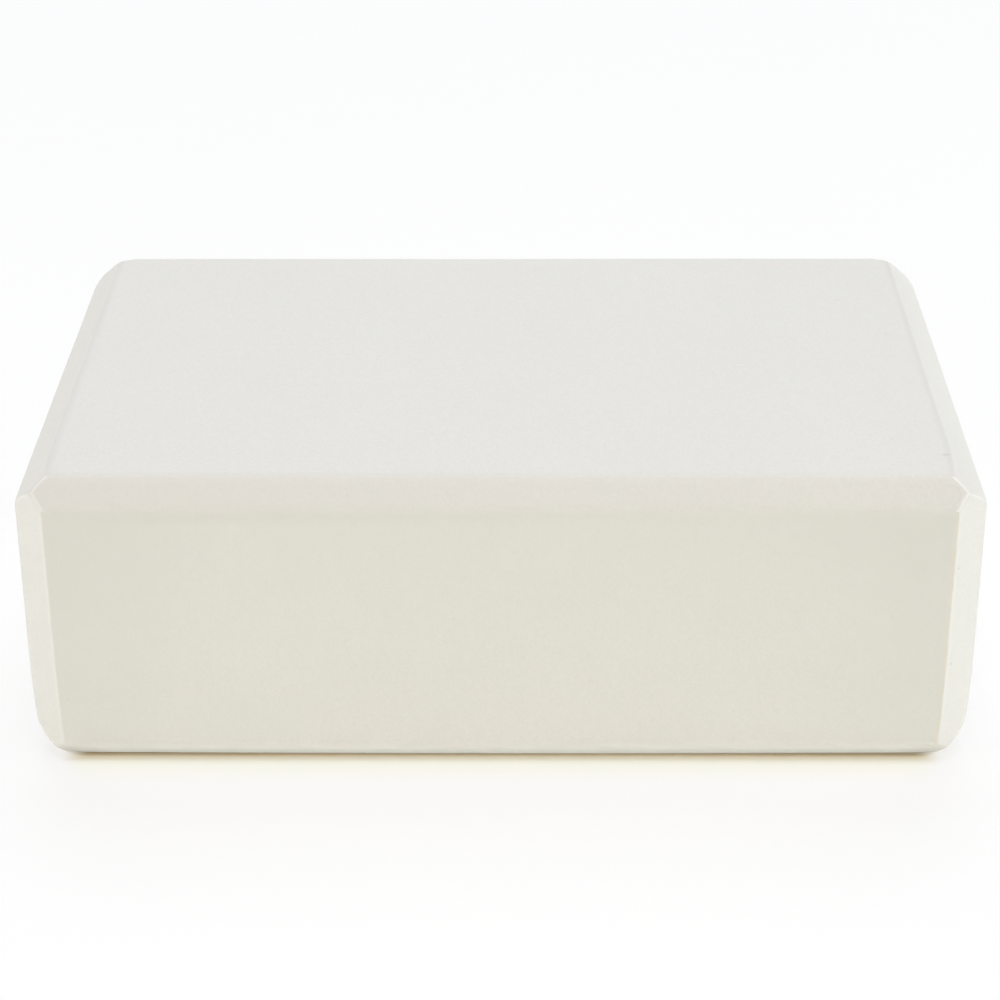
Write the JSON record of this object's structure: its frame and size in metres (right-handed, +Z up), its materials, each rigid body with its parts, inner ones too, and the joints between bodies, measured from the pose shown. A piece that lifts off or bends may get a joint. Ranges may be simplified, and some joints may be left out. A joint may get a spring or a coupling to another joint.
{
  "type": "yoga block",
  "caption": "Firm foam yoga block: a low rectangular brick with all edges bevelled, laminated from foam slabs, used as a hand, seat or foot support.",
  "frame": {"origin": "middle of the base, on the surface that the block stands on", "axes": "+X along the length, +Y across the width to the back, +Z up through the thickness"},
  "size_m": [0.23, 0.15, 0.076],
  "materials": {
    "foam": "matte, fine closed-cell foam, warm white",
    "bond": "matte, colour-matched adhesive"
  },
  "bodies": {
    "root": {"lower_foam_slab": "foam", "bond_film": "bond", "upper_foam_slab": "foam"}
  },
  "joints": []
}
